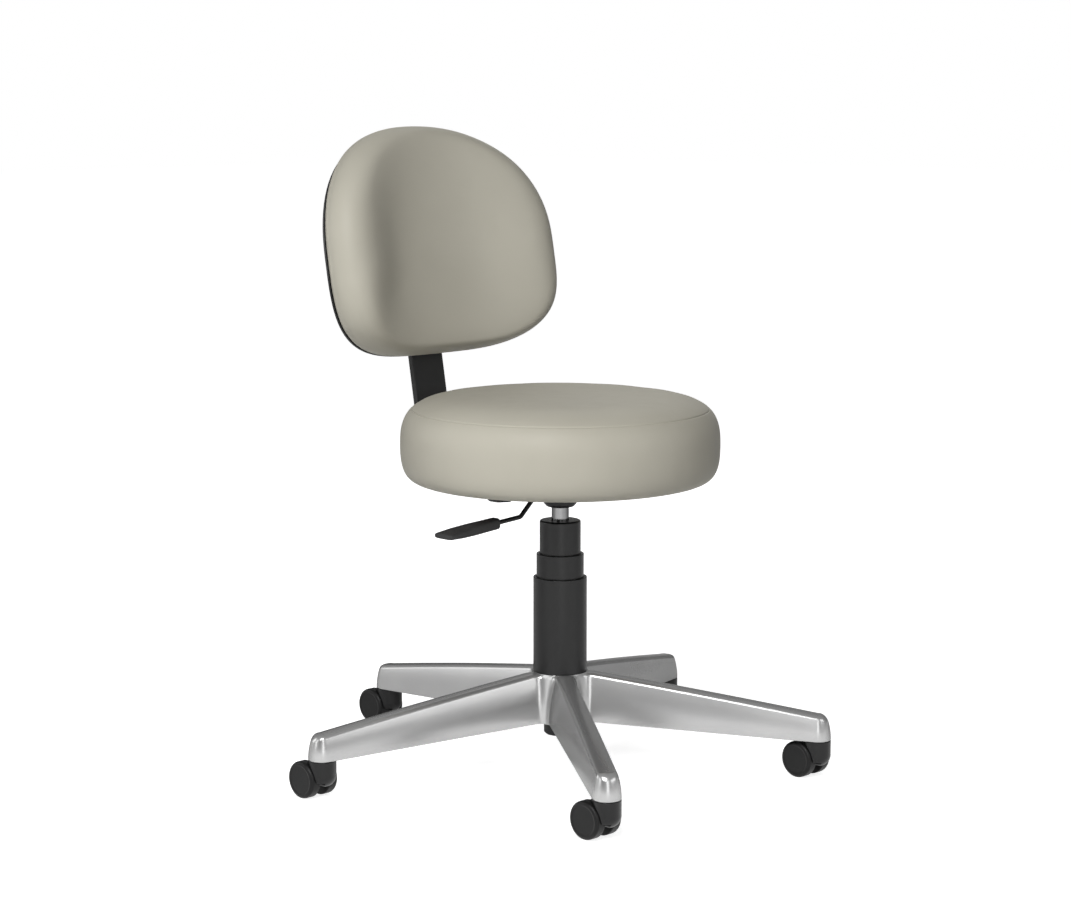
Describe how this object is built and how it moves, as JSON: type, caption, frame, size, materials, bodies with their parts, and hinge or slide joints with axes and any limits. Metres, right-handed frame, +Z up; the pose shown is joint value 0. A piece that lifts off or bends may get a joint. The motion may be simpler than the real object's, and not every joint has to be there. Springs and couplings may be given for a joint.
{
  "type": "rolling stool with backrest",
  "caption": "Rolling work stool: round padded seat and curved backrest on a flat bar, gas-lift column in telescopic sleeves, polished star base on twin-wheel casters.",
  "frame": {"origin": "on the floor, under the middle of the stool's bounding box, with the seat at the pictured height", "axes": "+Z up; the sitter faces -Y, the backrest is at +Y and the release lever at -X"},
  "size_m": [0.67, 0.6554, 0.8173],
  "materials": {
    "polished_aluminium": "polished",
    "chrome": "polished",
    "bright_steel": "satin",
    "black_paint": "satin",
    "black_plastic": "satin",
    "wheel_nylon": "satin",
    "bush_plastic": "satin",
    "plywood": "matte",
    "grey_upholstery": "satin"
  },
  "bodies": {
    "base": {"star_base": "polished_aluminium", "outer_sleeve": "black_plastic", "standing_tube": "black_paint", "guide_bush": "bush_plastic", "thrust_bearing": "bright_steel"},
    "swivel": {"piston_rod": "bright_steel", "piston": "bush_plastic", "retaining_clip": "bright_steel"},
    "seat": {"pressure_tube": "chrome", "seat_plate": "black_paint", "lever_pin": "bright_steel", "seat_board": "plywood", "seat_cushion": "grey_upholstery", "bar_bracket": "black_paint"},
    "middle_sleeve": {"middle_sleeve": "black_plastic"},
    "inner_sleeve": {"inner_sleeve": "black_plastic"},
    "lever": {"lever_rod": "black_paint", "lever_grip": "black_plastic"},
    "release_pin": {"release_pin": "bright_steel"},
    "depth_knob": {"depth_knob": "black_plastic"},
    "back_bar": {"back_bar": "black_paint"},
    "back": {"back_sleeve": "black_paint", "back_shell": "black_plastic", "back_board": "plywood", "back_cushion": "grey_upholstery"},
    "height_knob": {"height_knob": "black_plastic"},
    "caster_1": {"caster_stem_1": "bright_steel", "caster_hood_1": "black_plastic", "caster_axle_1": "bright_steel"},
    "wheel_right_1": {"wheel_right_1": "wheel_nylon"},
    "wheel_left_1": {"wheel_left_1": "wheel_nylon"},
    "caster_2": {"caster_stem_2": "bright_steel", "caster_hood_2": "black_plastic", "caster_axle_2": "bright_steel"},
    "wheel_right_2": {"wheel_right_2": "wheel_nylon"},
    "wheel_left_2": {"wheel_left_2": "wheel_nylon"},
    "caster_3": {"caster_stem_3": "bright_steel", "caster_hood_3": "black_plastic", "caster_axle_3": "bright_steel"},
    "wheel_right_3": {"wheel_right_3": "wheel_nylon"},
    "wheel_left_3": {"wheel_left_3": "wheel_nylon"},
    "caster_4": {"caster_stem_4": "bright_steel", "caster_hood_4": "black_plastic", "caster_axle_4": "bright_steel"},
    "wheel_right_4": {"wheel_right_4": "wheel_nylon"},
    "wheel_left_4": {"wheel_left_4": "wheel_nylon"},
    "caster_5": {"caster_stem_5": "bright_steel", "caster_hood_5": "black_plastic", "caster_axle_5": "bright_steel"},
    "wheel_right_5": {"wheel_right_5": "wheel_nylon"},
    "wheel_left_5": {"wheel_left_5": "wheel_nylon"}
  },
  "joints": [
    {"name": "swivel", "type": "hinge", "parent": "base", "child": "swivel", "pos_m": [0, -0.04349, 0], "axis": [0, 0, 1], "continuous": true},
    {"name": "seat_lift", "type": "slide", "parent": "swivel", "child": "seat", "axis": [0, 0, 1], "range_m": [-0.045, 0.095]},
    {"name": "middle_sleeve_slide", "type": "slide", "parent": "base", "child": "middle_sleeve", "axis": [0, 0, 1], "range_m": [-0.015, 0.0317]},
    {"name": "inner_sleeve_slide", "type": "slide", "parent": "base", "child": "inner_sleeve", "axis": [0, 0, 1], "range_m": [-0.03, 0.0634]},
    {"name": "lever_lift", "type": "hinge", "parent": "seat", "child": "lever", "pos_m": [-0.032, -0.04349, 0.3658], "axis": [0, 1, 0], "range_deg": [0, 5.5], "stiffness_Nm_per_rad": 12},
    {"name": "release_pin_slide", "type": "slide", "parent": "seat", "child": "release_pin", "axis": [0, 0, -1], "range_m": [0, 0.0035]},
    {"name": "back_depth", "type": "slide", "parent": "seat", "child": "back_bar", "axis": [0, 1, 0], "range_m": [-0.02, 0.035]},
    {"name": "depth_knob_turn", "type": "hinge", "parent": "seat", "child": "depth_knob", "pos_m": [0, 0.06451, 0.3479], "axis": [0, 0, -1], "range_deg": [0, 360]},
    {"name": "back_height", "type": "slide", "parent": "back_bar", "child": "back", "axis": [0, 0.1736, 0.9848], "range_m": [-0.03, 0.05]},
    {"name": "height_knob_turn", "type": "hinge", "parent": "back", "child": "height_knob", "pos_m": [0, 0.24715, 0.64388], "axis": [0, 0.9848, -0.1736], "range_deg": [0, 360]},
    {"name": "caster_swivel_1", "type": "hinge", "parent": "base", "child": "caster_1", "pos_m": [0, 0.28631, 0.049], "axis": [0, 0, 1], "continuous": true},
    {"name": "wheel_right_roll_1", "type": "hinge", "parent": "caster_1", "child": "wheel_right_1", "pos_m": [0, 0.30431, 0.0233], "axis": [1, 0, 0], "continuous": true},
    {"name": "wheel_left_roll_1", "type": "hinge", "parent": "caster_1", "child": "wheel_left_1", "pos_m": [0, 0.30431, 0.0233], "axis": [1, 0, 0], "continuous": true},
    {"name": "caster_swivel_2", "type": "hinge", "parent": "base", "child": "caster_2", "pos_m": [-0.31366, 0.05842, 0.049], "axis": [0, 0, 1], "continuous": true},
    {"name": "wheel_right_roll_2", "type": "hinge", "parent": "caster_2", "child": "wheel_right_2", "pos_m": [-0.31366, 0.07642, 0.0233], "axis": [1, 0, 0], "continuous": true},
    {"name": "wheel_left_roll_2", "type": "hinge", "parent": "caster_2", "child": "wheel_left_2", "pos_m": [-0.31366, 0.07642, 0.0233], "axis": [1, 0, 0], "continuous": true},
    {"name": "caster_swivel_3", "type": "hinge", "parent": "base", "child": "caster_3", "pos_m": [-0.19385, -0.31031, 0.049], "axis": [0, 0, 1], "continuous": true},
    {"name": "wheel_right_roll_3", "type": "hinge", "parent": "caster_3", "child": "wheel_right_3", "pos_m": [-0.19385, -0.29231, 0.0233], "axis": [1, 0, 0], "continuous": true},
    {"name": "wheel_left_roll_3", "type": "hinge", "parent": "caster_3", "child": "wheel_left_3", "pos_m": [-0.19385, -0.29231, 0.0233], "axis": [1, 0, 0], "continuous": true},
    {"name": "caster_swivel_4", "type": "hinge", "parent": "base", "child": "caster_4", "pos_m": [0.19385, -0.31031, 0.049], "axis": [0, 0, 1], "continuous": true},
    {"name": "wheel_right_roll_4", "type": "hinge", "parent": "caster_4", "child": "wheel_right_4", "pos_m": [0.19385, -0.29231, 0.0233], "axis": [1, 0, 0], "continuous": true},
    {"name": "wheel_left_roll_4", "type": "hinge", "parent": "caster_4", "child": "wheel_left_4", "pos_m": [0.19385, -0.29231, 0.0233], "axis": [1, 0, 0], "continuous": true},
    {"name": "caster_swivel_5", "type": "hinge", "parent": "base", "child": "caster_5", "pos_m": [0.31366, 0.05842, 0.049], "axis": [0, 0, 1], "continuous": true},
    {"name": "wheel_right_roll_5", "type": "hinge", "parent": "caster_5", "child": "wheel_right_5", "pos_m": [0.31366, 0.07642, 0.0233], "axis": [1, 0, 0], "continuous": true},
    {"name": "wheel_left_roll_5", "type": "hinge", "parent": "caster_5", "child": "wheel_left_5", "pos_m": [0.31366, 0.07642, 0.0233], "axis": [1, 0, 0], "continuous": true}
  ],
  "couplings": [
    {"joint": "middle_sleeve_slide", "follows": "seat_lift", "ratio": 0.3333},
    {"joint": "inner_sleeve_slide", "follows": "seat_lift", "ratio": 0.6666},
    {"joint": "release_pin_slide", "follows": "lever_lift", "m_per_rad": 0.036}
  ]
}
